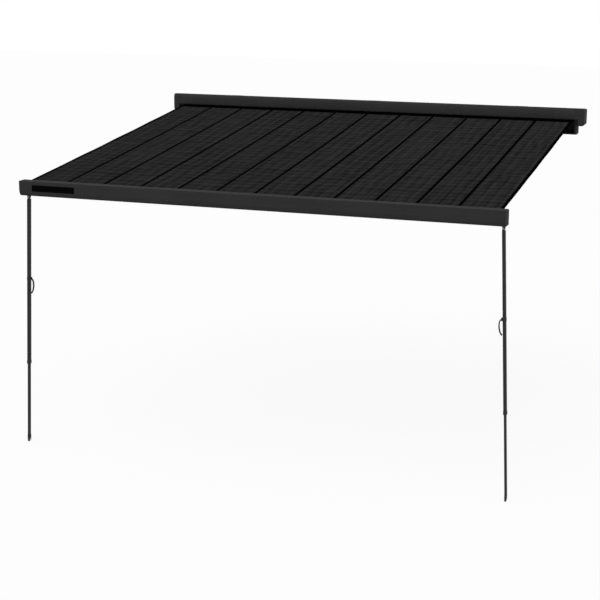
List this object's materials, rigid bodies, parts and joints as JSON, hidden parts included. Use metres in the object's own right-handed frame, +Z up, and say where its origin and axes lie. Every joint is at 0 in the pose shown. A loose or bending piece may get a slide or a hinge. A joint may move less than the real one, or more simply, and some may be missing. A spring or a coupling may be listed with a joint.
{
  "type": "vehicle sun awning",
  "caption": "Wall-mounted cassette awning with folding arms, a dark canopy of seamed panels on a roller, a front rail and telescopic legs that fold into the rail.",
  "frame": {"origin": "centre of the back face of the middle wall bracket, where it meets the vehicle's wall", "axes": "+X runs along the awning to the right as seen from the front, +Y points into the wall, +Z is up"},
  "size_m": [4.037, 3.3119, 2.613],
  "materials": {
    "black_aluminium": "fine matt black powder coat",
    "cap_aluminium": "fine matt black powder coat on a casting",
    "leg_aluminium": "satin black powder coat",
    "arm_aluminium": "satin black powder coat",
    "cast_aluminium": "rough black powder coat on a casting",
    "black_plastic": "matt black",
    "badge_plastic": "blank glossy black",
    "seal_rubber": "matt",
    "steel": "plated",
    "roller_aluminium": "mill finish",
    "canopy_fabric": "coated woven cloth, anthracite"
  },
  "bodies": {
    "cassette": {"back_profile": "black_aluminium", "cover_profile": "black_aluminium", "cover_seal": "seal_rubber", "end_cap_left": "cap_aluminium", "end_cap_right": "cap_aluminium", "wall_bracket_left": "cast_aluminium", "wall_bracket_middle": "cast_aluminium", "wall_bracket_right": "cast_aluminium", "shoulder_bracket_left": "cast_aluminium", "shoulder_bracket_right": "cast_aluminium", "shoulder_pin_left": "steel", "shoulder_pin_right": "steel", "roller_bearing": "cast_aluminium", "winch_housing": "cast_aluminium"},
    "roller": {"roller_tube": "roller_aluminium", "fabric_winding": "canopy_fabric", "roller_drive_wheel": "cast_aluminium", "roller_idler_plug": "black_plastic"},
    "winch_input": {"winch_shaft": "steel"},
    "left_upper_arm": {"upper_arm_root_left": "cast_aluminium", "upper_arm_tube_left": "arm_aluminium", "upper_arm_fork_left": "cast_aluminium", "elbow_pin_left": "steel"},
    "left_forearm": {"forearm_elbow_left": "cast_aluminium", "forearm_tube_left": "arm_aluminium", "forearm_tip_left": "cast_aluminium"},
    "front_rail": {"rail_profile": "black_aluminium", "rail_end_cap_left": "black_plastic", "rail_end_cap_right": "black_plastic", "badge_plate": "badge_plastic", "keder_rod": "black_plastic", "rail_arm_bracket_left": "cast_aluminium", "rail_arm_bracket_right": "cast_aluminium", "rail_arm_pin_left": "steel", "rail_arm_pin_right": "steel", "leg_hinge_left": "cast_aluminium", "leg_hinge_right": "cast_aluminium", "canopy": "canopy_fabric"},
    "right_upper_arm": {"upper_arm_root_right": "cast_aluminium", "upper_arm_tube_right": "arm_aluminium", "upper_arm_fork_right": "cast_aluminium", "elbow_pin_right": "steel"},
    "right_forearm": {"forearm_elbow_right": "cast_aluminium", "forearm_tube_right": "arm_aluminium", "forearm_tip_right": "cast_aluminium"},
    "left_leg_head": {"leg_head_left": "black_plastic"},
    "left_leg_outer": {"leg_outer_tube_left": "leg_aluminium", "leg_collar_left": "black_plastic", "lever_band_left": "black_plastic"},
    "left_lever": {"lock_lever_left": "black_plastic"},
    "left_leg_inner": {"leg_inner_tube_left": "leg_aluminium"},
    "left_foot": {"leg_foot_left": "black_plastic"},
    "right_leg_head": {"leg_head_right": "black_plastic"},
    "right_leg_outer": {"leg_outer_tube_right": "leg_aluminium", "leg_collar_right": "black_plastic", "lever_band_right": "black_plastic"},
    "right_lever": {"lock_lever_right": "black_plastic"},
    "right_leg_inner": {"leg_inner_tube_right": "leg_aluminium"},
    "right_foot": {"leg_foot_right": "black_plastic"}
  },
  "joints": [
    {"name": "arm_fold", "type": "hinge", "parent": "cassette", "child": "left_upper_arm", "pos_m": [-1.79, -0.05719, -0.07763], "axis": [0, -0.0976, 0.9952], "range_deg": [0, 77.24], "deforming": ["canopy"]},
    {"name": "left_elbow", "type": "hinge", "parent": "left_upper_arm", "child": "left_forearm", "pos_m": [-1.46069, -1.59909, -0.22881], "axis": [0, -0.0976, 0.9952], "range_deg": [-154.49, 0]},
    {"name": "rail_pivot", "type": "hinge", "parent": "left_forearm", "child": "front_rail", "pos_m": [-1.79, -3.141, -0.38], "axis": [0, -0.0976, 0.9952], "range_deg": [0, 77.25]},
    {"name": "right_shoulder", "type": "hinge", "parent": "cassette", "child": "right_upper_arm", "pos_m": [1.79, -0.05719, -0.07763], "axis": [0, -0.0976, 0.9952], "range_deg": [-77.25, 0]},
    {"name": "right_elbow", "type": "hinge", "parent": "right_upper_arm", "child": "right_forearm", "pos_m": [1.46069, -1.59909, -0.22881], "axis": [0, -0.0976, 0.9952], "range_deg": [0, 154.49]},
    {"name": "roller_spin", "type": "hinge", "parent": "cassette", "child": "roller", "pos_m": [0, -0.07, 0.0578], "axis": [1, 0, 0], "range_deg": [0, 3880]},
    {"name": "crank_spin", "type": "hinge", "parent": "cassette", "child": "winch_input", "pos_m": [-1.981, -0.1015, 0], "axis": [0, 0, 1], "range_deg": [0, 19400]},
    {"name": "left_leg_fold", "type": "hinge", "parent": "front_rail", "child": "left_leg_head", "pos_m": [-1.915, -3.209, -0.398], "axis": [0, -1, 0], "range_deg": [0, 92.5]},
    {"name": "left_leg_swing", "type": "hinge", "parent": "left_leg_head", "child": "left_leg_outer", "pos_m": [-1.91814, -3.209, -0.46993], "axis": [-0.999, 0, 0.0436], "range_deg": [-35, 0]},
    {"name": "left_leg_extend", "type": "slide", "parent": "left_leg_outer", "child": "left_leg_inner", "axis": [0.0436, 0, 0.999], "range_m": [-0.08, 0.58]},
    {"name": "left_lever_flip", "type": "hinge", "parent": "left_leg_outer", "child": "left_lever", "pos_m": [-1.92679, -3.209, -1.11517], "axis": [0, 1, 0], "range_deg": [-90, 0]},
    {"name": "left_foot_tilt", "type": "hinge", "parent": "left_leg_inner", "child": "left_foot", "pos_m": [-2.00451, -3.209, -2.44805], "axis": [0, 1, 0], "range_deg": [-15, 15]},
    {"name": "right_leg_fold", "type": "hinge", "parent": "front_rail", "child": "right_leg_head", "pos_m": [1.915, -3.209, -0.398], "axis": [0, 1, 0], "range_deg": [0, 92.5]},
    {"name": "right_leg_swing", "type": "hinge", "parent": "right_leg_head", "child": "right_leg_outer", "pos_m": [1.91814, -3.209, -0.46993], "axis": [-0.999, 0, -0.0436], "range_deg": [-35, 0]},
    {"name": "right_leg_extend", "type": "slide", "parent": "right_leg_outer", "child": "right_leg_inner", "axis": [-0.0436, 0, 0.999], "range_m": [-0.08, 0.58]},
    {"name": "right_lever_flip", "type": "hinge", "parent": "right_leg_outer", "child": "right_lever", "pos_m": [1.92679, -3.209, -1.11517], "axis": [0, -1, 0], "range_deg": [-90, 0]},
    {"name": "right_foot_tilt", "type": "hinge", "parent": "right_leg_inner", "child": "right_foot", "pos_m": [2.00451, -3.209, -2.44805], "axis": [0, -1, 0], "range_deg": [-15, 15]}
  ],
  "couplings": [
    {"joint": "left_elbow", "follows": "arm_fold", "ratio": -2},
    {"joint": "rail_pivot", "follows": "arm_fold", "ratio": 1},
    {"joint": "right_shoulder", "follows": "arm_fold", "ratio": -1},
    {"joint": "right_elbow", "follows": "arm_fold", "ratio": 2},
    {"joint": "roller_spin", "follows": "arm_fold", "ratio": 50},
    {"joint": "crank_spin", "follows": "arm_fold", "ratio": 250}
  ]
}
